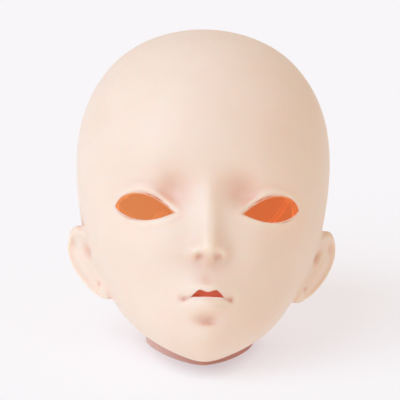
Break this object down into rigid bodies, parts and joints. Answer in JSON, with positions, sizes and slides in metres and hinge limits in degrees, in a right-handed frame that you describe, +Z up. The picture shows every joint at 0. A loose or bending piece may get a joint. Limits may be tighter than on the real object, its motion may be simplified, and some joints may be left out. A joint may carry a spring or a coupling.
{
  "type": "ball-jointed doll head",
  "caption": "Hollow resin doll head with open eyes, parted lips, ears and a round neck socket; the back of the skull is a cap held on by magnets and lifts off.",
  "frame": {"origin": "centre of the part's box, on the table that the neck rim stands on", "axes": "+X to the doll's left, -Y the way the face looks, +Z up"},
  "size_m": [0.0698, 0.0888, 0.0797],
  "materials": {
    "resin": "satin cast polyurethane resin, faintly translucent",
    "nickel": "nickel-plated"
  },
  "bodies": {
    "head": {"face_shell": "resin", "shell_magnet_upper_left": "nickel", "shell_magnet_upper_right": "nickel", "shell_magnet_lower_left": "nickel", "shell_magnet_lower_right": "nickel"},
    "cap": {"head_cap": "resin", "cap_magnet_upper_left": "nickel", "cap_magnet_upper_right": "nickel", "cap_magnet_lower_left": "nickel", "cap_magnet_lower_right": "nickel"}
  },
  "joints": [
    {"name": "cap_lift", "type": "slide", "parent": "head", "child": "cap", "axis": [0, 0.9903, 0.1392], "range_m": [0, 0.09]}
  ]
}
